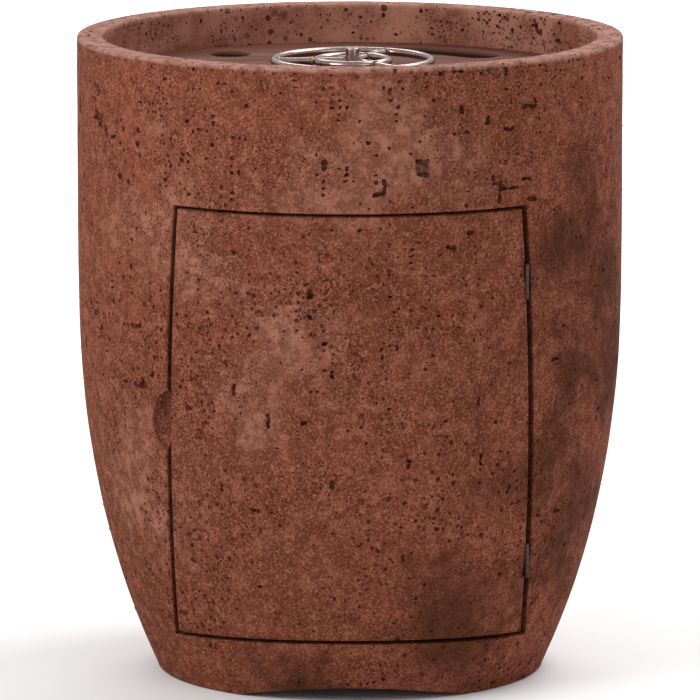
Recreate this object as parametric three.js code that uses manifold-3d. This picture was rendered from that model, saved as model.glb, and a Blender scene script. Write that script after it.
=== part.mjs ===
// A round fire column in cast concrete: a hollow tapered body with a gas burner in
// its shallow bowl and a hinged cabinet door that hides the gas cylinder.
// Millimetres. The origin is on the floor under the centre, +Z is up, the door faces -Y.
import * as THREE from 'three';
import { mergeVertices } from 'three/addons/utils/BufferGeometryUtils.js';
import Module from 'manifold-3d';

const wasm = await Module();
wasm.setup();

// ---- driving dimensions -------------------------------------------------------
const height = 626;
const rimRadius = 266.5;
const taperStart = 420; // above this height the side is a plain cylinder
const taperPower = 2.5;
const footTuck = 78; // how much narrower the foot is than the rim
const wall = 25;
const play = 0.3; // air left between two pieces that touch

// bowl: a loose cast deck lies on a ledge inside the body
const bowlDepth = 38.7;
const deckThickness = 25;
const deckZ = height - bowlDepth;
const ledgeZ = deckZ - deckThickness - play;
const ledgeRadius = 216;
const ledgeThickness = 17;
const deckRadius = rimRadius - wall - 0.5;
const ventHole = { x: -119.5, y: 144, radius: 20.4 };
const sideVent = { inner: 165, outer: 207, from: 17.6, to: 43.5 }; // degrees from +Y

// round cover plate that carries the burner, let into the deck
const plateRadius = 133;
const plateThickness = 8;
const plateProud = 0.6;
const plateLedge = 15;
const plateTop = deckZ + plateProud;
const plateBottom = plateTop - plateThickness;

// burner: two rings of round tube on three spokes
const burnerX = 2.5;
const tube = 4; // radius of the burner tube
const outerRing = 76.7;
const innerRing = 35;
const ringZ = deckZ + 12.3;
const spokeAngles = [64, 184, 304];
const hubRadius = 6.75;
const hubRise = 12.7; // hub above the plane of the rings

// door: half widths and heights of the middle of the gap around it
const door = {
  topZ: 485.8, bottomZ: 63.6, bottomSag: 7.4, // the sill drops towards its corners
  halfWidth: 174, midZ: 256, bow: 6.4, bowSpan: 212, // the sides draw in above and below midZ
};
const gap = { latch: 3.7, top: 3.4, bottom: 4, hinge: 4.8 };
const revealY = 100; // the cut sides aim at this line behind the centre
const doorOpens = 80; // degrees

// hinges: their common axis leans with the wall
const hingeHeights = { lower: 135.5, upper: 414.5 };
const hingeX = { lower: 170.6, upper: 168.7 };
const hingeProud = { lower: 2, upper: 0.5 };
const hingeLength = 34;
const knuckleRadius = 2.1;
const hingePinRadius = 0.9;
const leafWidth = 20;
const leafThickness = 1.1;
const leafOffset = 0.7;

// finger scoop in the body wall beside the latch edge, and the arches under the foot
const scoop = { x: -188.8, z: 275, reach: 19.5, tall: 63, depth: 19 };
const archWidth = 223;
const archHeight = 15;

// control bracket, valve and gas train below the deck
const bracketY = -176;
const bracketWidth = 110;
const sheet = 1.6;
const valveX = -28;
const valveZ = 492;
const catchZ = 276;

// ---- finishes -----------------------------------------------------------------
const finish = (color, roughness, metalness) =>
  new THREE.MeshStandardMaterial({ color, roughness, metalness });
const concrete = () => finish(0x8a5f50, 0.85, 0);
const deckConcrete = () => finish(0x7d5c52, 0.8, 0);
const stainless = () => finish(0xd5d8d8, 0.18, 1);
const steel = () => finish(0x8f8a84, 0.4, 0.9);
const brass = () => finish(0xb8975a, 0.35, 0.9);
const zinc = () => finish(0xa7a9a8, 0.45, 0.85);
const blackPaint = () => finish(0x26241f, 0.5, 0.2);

// ---- helpers ------------------------------------------------------------------
const turn = THREE.MathUtils.degToRad;
const vec = (x, y, z) => new THREE.Vector3(x, y, z);

function solid(geometry) {
  const bare = geometry.index ? geometry.toNonIndexed() : geometry.clone();
  for (const name of Object.keys(bare.attributes)) {
    if (name !== 'position') bare.deleteAttribute(name);
  }
  const merged = mergeVertices(bare, 1e-4);
  const vertProperties = Float32Array.from(merged.attributes.position.array);
  const triVerts = Uint32Array.from(merged.index.array);
  return new wasm.Manifold(new wasm.Mesh({ numProp: 3, vertProperties, triVerts }));
}

function geometryOf(body) {
  const mesh = body.getMesh();
  const geometry = new THREE.BufferGeometry();
  geometry.setAttribute('position', new THREE.BufferAttribute(mesh.vertProperties, 3));
  geometry.setIndex(new THREE.BufferAttribute(mesh.triVerts, 1));
  return geometry;
}

const cut = (geometry, ...tools) =>
  geometryOf(tools.reduce((body, tool) => body.subtract(solid(tool)), solid(geometry)));
const join = (geometry, ...others) =>
  geometryOf(others.reduce((body, other) => body.add(solid(other)), solid(geometry)));

function piece(name, geometry, material, matrix) {
  const mesh = new THREE.Mesh(geometry, material);
  mesh.name = name;
  if (matrix) mesh.applyMatrix4(matrix);
  return mesh;
}

// a closed ring or disc turned about +Z from [radius, height] corners, anticlockwise
function turned(corners, segments = 24) {
  const profile = corners.map(([radius, z]) => new THREE.Vector2(radius, z));
  return new THREE.LatheGeometry(profile, segments).rotateX(Math.PI / 2);
}

const rod = (radius, from, to, segments = 16) =>
  turned([[0, from], [radius, from], [radius, to], [0, to]], segments);
const collar = (inner, outer, from, to, segments = 24) =>
  turned([[inner, from], [outer, from], [outer, to], [inner, to], [inner, from]], segments);
const hexNut = (inner, acrossFlats, from, to) =>
  cut(rod(acrossFlats / Math.sqrt(3), from, to, 6), rod(inner, from - 1, to + 1, 16));
const box = (x0, x1, y0, y1, z0, z1) =>
  new THREE.BoxGeometry(x1 - x0, y1 - y0, z1 - z0).translate((x0 + x1) / 2, (y0 + y1) / 2, (z0 + z1) / 2);

// turns a piece made along +Z so that it lies along -Y, towards the front
const facingFront = (x, y, z) => new THREE.Matrix4().makeTranslation(x, y, z).multiply(
  new THREE.Matrix4().makeRotationX(Math.PI / 2));

// ---- the wall's own shape -----------------------------------------------------
function outerRadius(z) {
  const below = Math.max(0, taperStart - z) / taperStart;
  return rimRadius - footTuck * below ** taperPower;
}
const frontPoint = (x, z) => vec(x, -Math.sqrt(outerRadius(z) ** 2 - x ** 2), z);

// ---- hinge axis ---------------------------------------------------------------
const hingePoint = (side) => frontPoint(hingeX[side], hingeHeights[side]).add(vec(0, -hingeProud[side], 0));
const hingeLow = hingePoint('lower');
const hingeHigh = hingePoint('upper');
const hingeAxis = hingeHigh.clone().sub(hingeLow).normalize();
const lean = hingeAxis.y / hingeAxis.z;

// the way the cut face runs inwards from a point on the surface, square to the axis
function inwards(point) {
  const flat = vec(-point.x, revealY - point.y, 0);
  flat.z = -lean * flat.y;
  return flat.normalize();
}

// ---- door outline and the solid that cuts it ----------------------------------
const side = (z) => door.halfWidth - door.bow * ((z - door.midZ) / door.bowSpan) ** 2;
const sill = (x) => door.bottomZ - door.bottomSag * (x / side(door.bottomZ)) ** 2;

// grow is +1 for the opening in the body and -1 for the door that fills it
function doorOutline(grow) {
  const steps = 9;
  const top = door.topZ + grow * gap.top / 2;
  const right = (z) => side(z) + grow * gap.hinge / 2;
  const left = (z) => -side(z) - grow * gap.latch / 2;
  const bottom = (x) => sill(x) - grow * gap.bottom / 2;
  const corner = { right: right(door.bottomZ - door.bottomSag), left: left(door.bottomZ - door.bottomSag) };
  const points = [];
  const along = (from, to, place) => {
    for (let i = 0; i < steps; i += 1) points.push(place(from + (to - from) * i / steps));
  };
  along(corner.left, corner.right, (x) => frontPoint(x, bottom(x)));
  along(bottom(corner.right), top, (z) => frontPoint(right(z), z));
  along(right(top), left(top), (x) => frontPoint(x, top));
  along(top, bottom(corner.left), (z) => frontPoint(left(z), z));
  return points;
}

function doorCutter(grow) {
  const outline = doorOutline(grow);
  const front = outline.map((p) => p.clone().addScaledVector(inwards(p), -30));
  const back = outline.map((p) => p.clone().addScaledVector(inwards(p), 62));
  const frontMiddle = vec(0, -rimRadius - 42, door.midZ);
  const backMiddle = vec(0, -rimRadius + 90, door.midZ);
  const corners = [];
  const triangle = (...points) => points.forEach((p) => corners.push(p.x, p.y, p.z));
  front.forEach((p, i) => {
    const next = (i + 1) % front.length;
    triangle(frontMiddle, p, front[next]);
    triangle(backMiddle, back[next], back[i]);
    triangle(p, back[i], back[next]);
    triangle(p, back[next], front[next]);
  });
  const geometry = new THREE.BufferGeometry();
  geometry.setAttribute('position', new THREE.Float32BufferAttribute(corners, 3));
  return geometry;
}

// ---- hinge places -------------------------------------------------------------
// local frame of a hinge: z along the axis, x inwards through the gap, y towards the door
function hingeFrame(centre) {
  const along = hingeAxis.clone();
  const into = inwards(centre);
  into.addScaledVector(along, -into.dot(along)).normalize();
  const across = along.clone().cross(into);
  return new THREE.Matrix4().makeBasis(into, across, along).setPosition(centre);
}
const hinges = [
  { name: 'lower', frame: hingeFrame(hingeLow) },
  { name: 'upper', frame: hingeFrame(hingeHigh) },
];
const screwHeights = [-9, 9];
const leafScrewReach = 12;
const leafScrewDepth = 11;
const leafScrew = { head: 2.7, shank: 1.5 };
const towards = (geometry, sign) => geometry.rotateX(-sign * Math.PI / 2);

// what a hinge takes out of the two edges: leaf seats, knuckle groove and screw holes
function hingeSeats(hinge) {
  const half = hingeLength / 2 + 0.8;
  const deep = leafOffset + leafThickness + 0.35;
  const tools = [
    box(0, leafWidth + 0.8, -deep, deep, -half, half),
    rod(knuckleRadius + 0.6, -half, half, 16),
  ];
  for (const sign of [-1, 1]) {
    for (const z of screwHeights) {
      tools.push(towards(rod(leafScrew.shank + play, 0, leafScrewDepth + 2.5, 10), sign)
        .translate(leafScrewReach, 0, z));
    }
  }
  return tools.map((tool) => tool.applyMatrix4(hinge.frame));
}
const allHingeSeats = hinges.flatMap(hingeSeats);

// ---- body ---------------------------------------------------------------------
function bodyShell() {
  const outside = [0.45, 1, 2, 3.2, 4.4, 5.6, 7, 8.6].map((step) => step / 8.6 * taperStart);
  const inside = [...outside].reverse();
  const footEase = 4;
  const bore = rimRadius - wall;
  const corners = [
    [outerRadius(0) - wall, 0], [outerRadius(0) - footEase, 0],
    ...outside.map((z) => [outerRadius(z), z]),
    [rimRadius, height - 1.5], [rimRadius - 1.5, height], [bore + 1.5, height], [bore, height - 1.5],
    [bore, ledgeZ], [ledgeRadius, ledgeZ], [ledgeRadius, ledgeZ - ledgeThickness],
    [bore, ledgeZ - ledgeThickness - (bore - ledgeRadius)],
    ...inside.map((z) => [outerRadius(z) - wall, z]),
    [outerRadius(0) - wall, 0],
  ];
  const archRadius = (archWidth ** 2 / 4 + archHeight ** 2) / (2 * archHeight);
  const arch = rod(archRadius, -rimRadius, rimRadius, 120).rotateX(Math.PI / 2)
    .translate(0, 0, archHeight - archRadius);
  return cut(turned(corners, 60), doorCutter(1), arch, fingerScoop(), ...catchHoles(), ...allHingeSeats);
}

// a dished recess whose round outline bulges away from the door
function fingerScoop() {
  const radius = (scoop.tall ** 2 / 4 + scoop.reach ** 2) / (2 * scoop.reach);
  const bowl = new THREE.SphereGeometry(1, 20, 12);
  bowl.scale(radius, scoop.depth, radius);
  const edge = frontPoint(scoop.x, scoop.z);
  const facing = Math.atan2(edge.x, -edge.y);
  return bowl.rotateZ(facing)
    .translate(edge.x + radius * Math.cos(facing), edge.y + radius * Math.sin(facing), edge.z);
}

// what the hinge edge and the heel of the door would strike as it swings: the edge of the
// body beside the hinges, set back a little and turned to meet the closed door
function sweptByDoor(shell) {
  const beside = solid(shell).intersect(solid(box(110, 205, -230, -90, 45, 430)));
  const clear = vec(-0.2, -0.5, 0.6);
  const tools = [];
  for (let angle = 38; angle <= doorOpens + 1; angle += 3) {
    const turnBack = new THREE.Matrix4().makeTranslation(hingeLow)
      .multiply(new THREE.Matrix4().makeRotationAxis(hingeAxis, turn(-angle)))
      .multiply(new THREE.Matrix4().makeTranslation(clear.clone().sub(hingeLow)));
    tools.push(geometryOf(beside).applyMatrix4(turnBack));
  }
  return tools;
}

function doorPanel(shell) {
  const skin = [door.bottomZ - 20, 90, 120, 155, 195, 240, 290, 345, taperStart, door.topZ + 20];
  const corners = [
    ...skin.map((z) => [outerRadius(z), z]),
    ...[...skin].reverse().map((z) => [outerRadius(z) - wall, z]),
    [outerRadius(skin[0]), skin[0]],
  ];
  const panel = solid(turned(corners, 60)).intersect(solid(doorCutter(-1)));
  return cut(geometryOf(panel), ...sweptByDoor(shell), ...allHingeSeats, ...strikeHoles());
}

// ---- bowl ---------------------------------------------------------------------
function kidney(inner, outer, from, to, z0, z1) {
  const middle = (inner + outer) / 2;
  const end = (outer - inner) / 2;
  const shape = new THREE.Shape();
  const a = Math.PI / 2 - turn(to);
  const b = Math.PI / 2 - turn(from);
  shape.absarc(0, 0, outer, a, b, false);
  shape.absarc(middle * Math.cos(b), middle * Math.sin(b), end, b, b + Math.PI, false);
  shape.absarc(0, 0, inner, b, a, true);
  shape.absarc(middle * Math.cos(a), middle * Math.sin(a), end, a + Math.PI, a + 2 * Math.PI, false);
  return new THREE.ExtrudeGeometry(shape, { depth: z1 - z0, bevelEnabled: false, curveSegments: 8 })
    .translate(0, 0, z0);
}

function burnerDeck() {
  const seatZ = plateBottom - play;
  const seat = plateRadius + 0.6;
  const disc = turned([
    [seat - plateLedge, ledgeZ + play], [deckRadius, ledgeZ + play], [deckRadius, deckZ],
    [seat, deckZ], [seat, seatZ], [seat - plateLedge, seatZ], [seat - plateLedge, ledgeZ + play],
  ], 64);
  const vent = rod(ventHole.radius, ledgeZ - 5, height, 24).translate(ventHole.x, ventHole.y, 0);
  const slot = kidney(sideVent.inner, sideVent.outer, sideVent.from, sideVent.to, ledgeZ - 5, height);
  const screwHoles = bracketScrewX.map((x) =>
    rod(2 + play, ledgeZ - 5, ledgeZ + 14, 10).translate(x, bracketScrewY, 0));
  return cut(disc, vent, slot, ...screwHoles);
}

const burnerPlate = () => cut(
  rod(plateRadius, plateBottom, plateTop, 64),
  rod(6, plateBottom - 2, plateTop + 2, 20).translate(burnerX, 0, 0));

// ---- burner -------------------------------------------------------------------
const burnerRing = (radius, segments) =>
  new THREE.TorusGeometry(radius, tube, 8, segments).translate(burnerX, 0, ringZ);

function spoke(from, to, angle) {
  const bar = rod(tube - 0.4, from, to, 10).rotateY(Math.PI / 2).rotateZ(turn(angle));
  return bar.translate(burnerX, 0, ringZ);
}

const atBurner = (geometry) => geometry.translate(burnerX, 0, 0);

function burnerParts() {
  const parts = [
    piece('outer_burner_ring', burnerRing(outerRing, 36), stainless()),
    piece('inner_burner_ring', burnerRing(innerRing, 24), stainless()),
    piece('burner_hub', atBurner(turned([
      [0, plateTop + 4 + play], [hubRadius, plateTop + 4 + play], [hubRadius, ringZ + hubRise - 1],
      [hubRadius - 1, ringZ + hubRise], [0, ringZ + hubRise],
    ], 20)), stainless()),
    piece('hub_flange', atBurner(collar(5.3, 11, plateTop + play, plateTop + 4)), stainless()),
  ];
  spokeAngles.forEach((angle, i) => {
    const near = spoke(hubRadius + 0.4, innerRing - tube - 0.1, angle);
    const far = spoke(innerRing + tube + 0.1, outerRing - tube - 0.1, angle);
    const ringTools = [burnerRingClear(innerRing, 24), burnerRingClear(outerRing, 36)];
    parts.push(piece(`inner_spoke_${i + 1}`, cut(near, ringTools[0]), stainless()));
    parts.push(piece(`outer_spoke_${i + 1}`, cut(far, ...ringTools), stainless()));
  });
  return parts;
}

const burnerRingClear = (radius, segments) =>
  new THREE.TorusGeometry(radius, tube + play, 8, segments).translate(burnerX, 0, ringZ);

// ---- gas train under the plate ------------------------------------------------
const nippleLow = 548;
const mixerLow = 516;
const orificeLow = 500;

function gasTrain() {
  const mixer = cut(
    collar(5.5, 10, mixerLow, nippleLow + 9),
    ...[0, 90].map((angle) => box(-14, 14, -2.5, 2.5, mixerLow + 9, mixerLow + 19).rotateZ(turn(angle))));
  return [
    piece('inlet_nipple', atBurner(collar(3, 5, nippleLow, plateTop + 4, 20)), steel()),
    piece('plate_washer', atBurner(collar(5.3, 13, plateBottom - play - 1.5, plateBottom - play)), zinc()),
    piece('lock_nut', atBurner(hexNut(5.3, 18, plateBottom - 10, plateBottom - 2.1)), zinc()),
    piece('air_mixer', atBurner(mixer), brass()),
    piece('gas_orifice', atBurner(cut(
      join(rod(8, mixerLow - 6, mixerLow - play, 6), rod(5.2, mixerLow - 6.5, mixerLow + 4, 16),
        rod(5, orificeLow, mixerLow - 5.5, 16)),
      rod(1.6, orificeLow - 1, mixerLow + 6, 10))), brass()),
  ];
}

const mixerEnd = vec(burnerX, 0, orificeLow - play);
const valveBack = bracketY + 30;

function gasLine() {
  const start = vec(valveX, valveBack + 12 + play, valveZ);
  const route = new THREE.CatmullRomCurve3([
    start, start.clone().add(vec(0, 10, 0)), vec(valveX + 4, -95, valveZ - 8), vec(-14, -52, valveZ - 16),
    vec(-2, -16, valveZ - 15), vec(burnerX, -2, valveZ - 6), mixerEnd.clone().add(vec(0, 0, -2)), mixerEnd,
  ]);
  const section = new THREE.Shape();
  section.absarc(0, 0, 4.6, 0, 2 * Math.PI, false);
  return new THREE.ExtrudeGeometry(section, { steps: 24, extrudePath: route, curveSegments: 4 });
}

const flareNut = (low, high) => hexNut(5.3, 17, low, high);

// ---- valve --------------------------------------------------------------------
// along the valve's own +Z, which points to the front; its zero is the bracket's front face
function valveBody() {
  const back = valveBack - bracketY;
  const barrel = join(
    rod(10, -back, -sheet - play, 20),
    rod(6, -sheet - 1, 9, 20),
    rod(5, -back - 12, -back + 1, 16),
    rod(7.5, 0, 17, 16).rotateX(Math.PI / 2).translate(0, 0, -16));
  return cut(barrel, rod(3, 0, 12, 14),
    rod(3, -2, 20, 12).rotateX(Math.PI / 2).translate(0, 0, -16));
}

function valveParts() {
  const place = facingFront(valveX, bracketY, valveZ);
  const inlet = collar(2.4, 8, valveZ - 36, valveZ - 17 - play, 16);
  const flare = collar(2.4, 5.5, valveZ - 46, valveZ - 35.5, 16);
  return [
    piece('valve_body', valveBody(), brass(), place),
    piece('valve_panel_nut', hexNut(6.3, 18, play, 4), zinc(), place),
    piece('inlet_fitting', join(inlet, flare).translate(valveX, bracketY + 16, 0), brass()),
    piece('gas_line', gasLine(), steel()),
    piece('valve_flare_nut', flareNut(2, 11).applyMatrix4(
      new THREE.Matrix4().makeTranslation(valveX, valveBack, valveZ).multiply(
        new THREE.Matrix4().makeRotationX(-Math.PI / 2))), brass()),
    piece('mixer_flare_nut', atBurner(flareNut(orificeLow - 1, orificeLow + 8)), brass()),
    piece('valve_stem', rod(2.6, 0.5, 24, 14), steel(), place),
    piece('valve_knob', valveKnob(), blackPaint(), place),
  ];
}

function valveKnob() {
  const base = 11;
  const front = 29;
  const round = turned([
    [0, base], [15, base], [15, base + 9], [13, base + 11], [0, base + 11],
  ], 24);
  const grip = box(-3, 3, -13, 13, base + 10, front);
  return cut(join(round, grip), rod(2.9, base - 1, 24.4, 14));
}

// ---- bracket ------------------------------------------------------------------
const bracketScrewX = [-42, 42];
const bracketScrewY = bracketY + 14;
const bracketLow = 470;
const deckUnder = ledgeZ + play;

function controlBracket() {
  const top = deckUnder - play;
  const profile = new THREE.Shape();
  profile.moveTo(0, bracketLow);
  profile.lineTo(sheet, bracketLow);
  profile.lineTo(sheet, top - sheet);
  profile.lineTo(26, top - sheet);
  profile.lineTo(26, top);
  profile.lineTo(0, top);
  profile.closePath();
  // drawn in y and z, then swept along x
  const angle = new THREE.ExtrudeGeometry(profile, { depth: bracketWidth, bevelEnabled: false })
    .applyMatrix4(new THREE.Matrix4().makeBasis(vec(0, 1, 0), vec(0, 0, 1), vec(1, 0, 0)))
    .translate(-bracketWidth / 2, bracketY, 0);
  const holes = bracketScrewX.map((x) =>
    rod(2 + play, top - 5, top + 5, 10).translate(x, bracketScrewY, 0));
  const neck = rod(6 + play, -5, 5, 20).applyMatrix4(facingFront(valveX, bracketY, valveZ));
  return cut(angle, neck, ...holes);
}

function bracketScrew(x) {
  const seat = deckUnder - play - sheet - play;
  return turned([
    [0, seat - 2.6], [4, seat - 2.6], [4, seat], [2, seat], [2, seat + 14], [0, seat + 14],
  ], 12).translate(x, bracketScrewY, 0);
}

// ---- magnetic catch -----------------------------------------------------------
// a frame on the inside of the wall: x along the wall away from the door, y out through it, z up it
function wallFrame(degreesFromFront, z) {
  const angle = turn(degreesFromFront);
  const slope = outerRadius(z + 1) - outerRadius(z - 1);
  const out = vec(Math.sin(angle), -Math.cos(angle), 0);
  const up = vec(out.x * slope / 2, out.y * slope / 2, 1).normalize();
  const across = out.clone().cross(up).normalize();
  const outSquare = up.clone().cross(across);
  return new THREE.Matrix4().makeBasis(across, outSquare, up)
    .setPosition(out.multiplyScalar(outerRadius(z) - wall).setZ(z));
}

const catchFrame = wallFrame(-46.3, catchZ);
const strikeFrame = wallFrame(-38.6, catchZ);
const catchScrewZ = [-14, 14];
const strikeScrewZ = [-12, 12];
const inWall = (geometry, frame) => geometry.rotateX(-Math.PI / 2).applyMatrix4(frame);
const wallScrewHole = (z, frame) => inWall(rod(1.8, -2, 15, 10).translate(0, -z, 0), frame);
const catchHoles = () => catchScrewZ.map((z) => wallScrewHole(z, catchFrame));
const strikeHoles = () => strikeScrewZ.map((z) => wallScrewHole(z, strikeFrame));

function catchParts() {
  const offWall = -1.8; // the pieces stand just off the curved wall
  const footFace = -4.2;
  const strikeFace = -3.4;
  const foot = box(-9, 9, footFace, offWall, -20, 20);
  const arm = box(-16, -4.5, -17, footFace + 0.1, -14, 14);
  const magnet = box(-38, -15, -17, -7.2, -7.5, 7.5);
  const strike = box(-9, 9, strikeFace, offWall, -17, 17);
  const hole = (z) => rod(1.8, -6, 1, 10).rotateX(-Math.PI / 2).translate(0, 0, z);
  const screw = (head) => turned([
    [0, head - 2], [3.4, head - 2], [3.4, head], [1.5, head], [1.5, head + 13], [0, head + 13]], 12);
  const parts = [
    piece('magnet_catch', cut(join(foot, arm, magnet), ...catchScrewZ.map(hole)), blackPaint(), catchFrame),
    piece('strike_plate', cut(strike, ...strikeScrewZ.map(hole)), zinc(), strikeFrame),
  ];
  const driven = (face, z, frame) => inWall(screw(face - play).translate(0, -z, 0), frame);
  catchScrewZ.forEach((z, i) => parts.push(
    piece(`catch_screw_${i + 1}`, driven(footFace, z, catchFrame), zinc())));
  strikeScrewZ.forEach((z, i) => parts.push(
    piece(`strike_screw_${i + 1}`, driven(strikeFace, z, strikeFrame), zinc())));
  return parts;
}

// ---- hinges -------------------------------------------------------------------
// sign +1 is the leaf on the door, which has the upper knuckle
function hingeLeaf(sign) {
  const half = hingeLength / 2;
  const low = sign > 0 ? play / 2 : -half;
  const high = sign > 0 ? half : -play / 2;
  const knuckle = rod(knuckleRadius, low, high, 16);
  const leafFace = [sign * leafOffset, sign * (leafOffset + leafThickness)].sort((a, b) => a - b);
  const plate = box(knuckleRadius + 0.5, leafWidth, ...leafFace, -half, half);
  const neck = box(0, knuckleRadius + 1, ...leafFace, low, high);
  const holes = screwHeights.map((z) =>
    towards(rod(leafScrew.head + play, 0, 5, 14), sign).translate(leafScrewReach, 0, z));
  return cut(join(knuckle, plate, neck), rod(hingePinRadius + play, low - 1, high + 1, 12), ...holes);
}

function hingeParts(hinge) {
  const half = hingeLength / 2;
  const pin = turned([
    [0, -half - 0.7], [1.9, -half - 0.7], [1.9, -half - play], [hingePinRadius, -half - play],
    [hingePinRadius, half + play], [1.9, half + play], [1.9, half + 0.7], [0, half + 0.7],
  ], 12);
  const screw = turned([
    [0, leafOffset], [leafScrew.head, leafOffset], [leafScrew.head, leafOffset + leafThickness],
    [leafScrew.shank, leafOffset + leafThickness], [leafScrew.shank, leafScrewDepth], [0, leafScrewDepth],
  ], 12);
  const parts = [
    piece(`${hinge.name}_hinge_body_leaf`, hingeLeaf(-1), steel(), hinge.frame),
    piece(`${hinge.name}_hinge_door_leaf`, hingeLeaf(1), steel(), hinge.frame),
    piece(`${hinge.name}_hinge_pin`, pin, steel(), hinge.frame),
  ];
  for (const [word, sign] of [['body', -1], ['door', 1]]) {
    screwHeights.forEach((z, i) => parts.push(piece(`${hinge.name}_hinge_${word}_screw_${i + 1}`,
      towards(screw.clone(), sign).translate(leafScrewReach, 0, z), steel(), hinge.frame)));
  }
  return parts;
}

// ---- assembly -----------------------------------------------------------------
const column = new THREE.Group();
const shell = bodyShell();
column.add(
  piece('body_shell', shell, concrete()),
  piece('door_panel', doorPanel(shell), concrete()),
  piece('burner_deck', burnerDeck(), deckConcrete()),
  piece('burner_plate', burnerPlate(), deckConcrete()),
  ...burnerParts(),
  ...gasTrain(),
  ...valveParts(),
  piece('control_bracket', controlBracket(), zinc()),
  ...bracketScrewX.map((x, i) => piece(`bracket_screw_${i + 1}`, bracketScrew(x), zinc())),
  ...catchParts(),
  ...hinges.flatMap(hingeParts),
);

export default column;
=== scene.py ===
# %% [markdown]
# # A cast concrete fire column, piece by piece
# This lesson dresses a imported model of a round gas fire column: a tapered body of
# pitted, red-brown cast concrete, a shallow bowl with a round burner, and a curved
# cabinet door that hides the gas bottle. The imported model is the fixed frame. It says
# where everything is and what moves with what, and the box it fills is kept first.

# %% Load the frame and measure it
import math
import random

import bpy
from mathutils import Matrix, Vector, noise


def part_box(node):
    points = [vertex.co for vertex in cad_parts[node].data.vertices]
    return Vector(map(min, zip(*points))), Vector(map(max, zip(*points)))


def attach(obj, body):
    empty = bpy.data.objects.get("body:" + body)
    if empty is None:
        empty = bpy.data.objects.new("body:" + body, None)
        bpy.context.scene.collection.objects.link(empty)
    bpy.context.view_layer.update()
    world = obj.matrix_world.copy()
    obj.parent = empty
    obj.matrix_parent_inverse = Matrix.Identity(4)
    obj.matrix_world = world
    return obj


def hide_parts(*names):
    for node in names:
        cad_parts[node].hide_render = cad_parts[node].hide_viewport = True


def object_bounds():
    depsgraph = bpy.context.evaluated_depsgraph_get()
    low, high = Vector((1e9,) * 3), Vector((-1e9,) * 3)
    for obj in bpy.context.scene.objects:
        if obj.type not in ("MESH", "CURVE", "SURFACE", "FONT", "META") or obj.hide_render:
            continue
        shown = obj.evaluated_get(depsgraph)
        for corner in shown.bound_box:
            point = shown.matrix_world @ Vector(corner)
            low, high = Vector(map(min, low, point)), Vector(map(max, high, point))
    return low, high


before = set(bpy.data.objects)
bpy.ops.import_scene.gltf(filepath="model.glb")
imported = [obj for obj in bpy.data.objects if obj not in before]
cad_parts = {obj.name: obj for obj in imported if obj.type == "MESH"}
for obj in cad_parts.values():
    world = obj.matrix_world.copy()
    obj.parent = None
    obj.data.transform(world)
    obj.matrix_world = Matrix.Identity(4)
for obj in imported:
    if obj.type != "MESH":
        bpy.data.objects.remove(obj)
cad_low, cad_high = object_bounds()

MM = 0.001
size = [round((high - low) / MM) for low, high in zip(cad_low, cad_high)]
print("the frame holds", len(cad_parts), "pieces in a box of", size, "mm")

# %% [markdown]
# ## The camera
# A product picture is usually taken from far off with a long lens, so that the sides
# stay nearly upright. Here the camera stands about seven metres in front of the column
# and a metre and a half up, aimed at the middle of the column's own axis.

# %% Set the camera up
column_low, column_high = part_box("body_shell")
axis_point = Vector((0, 0, (column_high.z - column_low.z) / 2))
bpy.ops.object.camera_add(location=(0, -7.3, 1.548))
camera = bpy.context.object
camera.name = "studio_camera"
camera.rotation_euler = (axis_point - camera.location).to_track_quat("-Z", "Y").to_euler()
camera.data.sensor_width = 36
camera.data.lens = 387.3
bpy.context.scene.camera = camera
print("camera looks at", tuple(round(v, 3) for v in axis_point))

# %% [markdown]
# ## The shape of the wall
# The side is a plain cylinder at the top and tucks in towards the foot, faster and
# faster on the way down. One small function gives the radius at any height, and every
# cut into the wall starts from a point that this function puts on the skin.

# %% Describe the wall
HEIGHT = column_high.z
RIM_RADIUS = column_high.y
WALL = 0.025
FOOT_TUCK = 0.078
TAPER_START = 0.42
TAPER_POWER = 2.5
LEDGE_TOP, LEDGE_BOTTOM, LEDGE_RADIUS = 0.562, 0.545, 0.216
FLOOR_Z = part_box("burner_deck")[1].z


def outer_radius(z):
    below = max(0.0, TAPER_START - z) / TAPER_START
    return RIM_RADIUS - FOOT_TUCK * below ** TAPER_POWER


def on_front(x, z):
    return Vector((x, -math.sqrt(outer_radius(z) ** 2 - x * x), z))


print("radius at the foot", round(outer_radius(0) / MM, 1), "and at the rim", round(RIM_RADIUS / MM, 1))

# %% [markdown]
# ## Working by hand, in code
# Four habits keep the modelling tidy: nothing is selected before a primitive is added,
# edit mode is entered and left in one place, a cut is a boolean modifier that is
# applied at once, and every finished mesh is shaded smooth except at its real edges.

# %% Small helpers for modelling
def nothing_selected():
    if bpy.context.object and bpy.context.object.mode == "EDIT":
        bpy.ops.object.mode_set(mode="OBJECT")
    bpy.ops.object.select_all(action="DESELECT")


def only(obj):
    nothing_selected()
    obj.select_set(True)
    bpy.context.view_layer.objects.active = obj
    return obj


def named(name):
    obj = bpy.context.object
    obj.name = obj.data.name = name
    return obj


def edit(obj, select="SELECT"):
    only(obj)
    bpy.ops.object.mode_set(mode="EDIT")
    bpy.ops.mesh.select_mode(type="FACE" if select == "FACES" else "VERT")
    if select in ("SELECT", "DESELECT"):
        bpy.ops.mesh.select_all(action=select)


def done():
    bpy.ops.object.mode_set(mode="OBJECT")


def boolean(obj, tool, operation="DIFFERENCE", keep=False):
    only(obj)
    step = obj.modifiers.new(operation.lower(), "BOOLEAN")
    step.operation, step.solver, step.object = operation, "EXACT", tool
    bpy.ops.object.modifier_apply(modifier=step.name)
    if not keep:
        bpy.data.objects.remove(tool)
    return obj


def smooth(obj, angle=32):
    only(obj)
    bpy.ops.object.shade_smooth_by_angle(angle=math.radians(angle))
    return obj


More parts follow.
